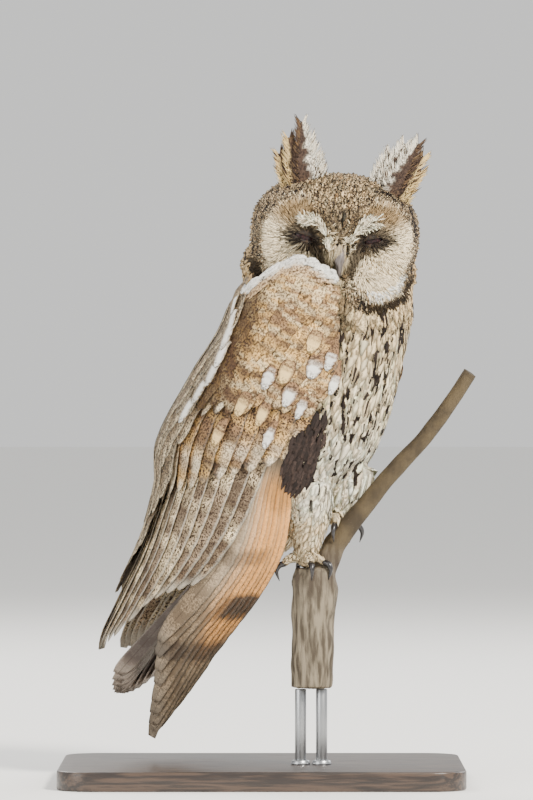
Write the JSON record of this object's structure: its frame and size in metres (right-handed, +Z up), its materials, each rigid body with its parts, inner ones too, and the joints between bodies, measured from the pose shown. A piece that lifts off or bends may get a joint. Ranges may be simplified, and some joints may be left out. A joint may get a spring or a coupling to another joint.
{
  "type": "long-eared owl display model",
  "caption": "Life-size still model of a dozing long-eared owl on a cut perch, held by a plain display stand",
  "frame": {"origin": "middle of the underside of the stand's base", "axes": "+Z up, the face looks along -Y, the picture's right is +X"},
  "size_m": [0.2583, 0.19, 0.41],
  "materials": {
    "plumage": "soft matte feathers, cream and buff with brown streaks",
    "flight_feathers": "matte barred and mottled flight feathers",
    "tuft_feathers": "dark brown tuft feathers with pale fringes",
    "horn": "smooth dark horn",
    "eye": "wet glossy eyeball",
    "bark": "weathered bark",
    "stand": "plain dark stained board",
    "rod": "brushed steel rod"
  },
  "bodies": {
    "root": {"head": "plumage", "neck": "plumage", "torso": "plumage", "wing_right": "flight_feathers", "wing_left": "flight_feathers", "tail": "flight_feathers", "ear_tuft_right": "tuft_feathers", "ear_tuft_left": "tuft_feathers", "leg_right": "plumage", "leg_left": "plumage", "foot_right": "plumage", "foot_left": "plumage", "claw_right_1": "horn", "claw_right_2": "horn", "claw_right_3": "horn", "claw_right_4": "horn", "claw_left_1": "horn", "claw_left_2": "horn", "claw_left_3": "horn", "claw_left_4": "horn", "bill_upper": "horn", "bill_lower": "horn", "eye_right": "eye", "eye_left": "eye", "perch": "bark", "stand_base": "stand", "stand_rod_1": "rod", "stand_rod_2": "rod"}
  },
  "joints": []
}
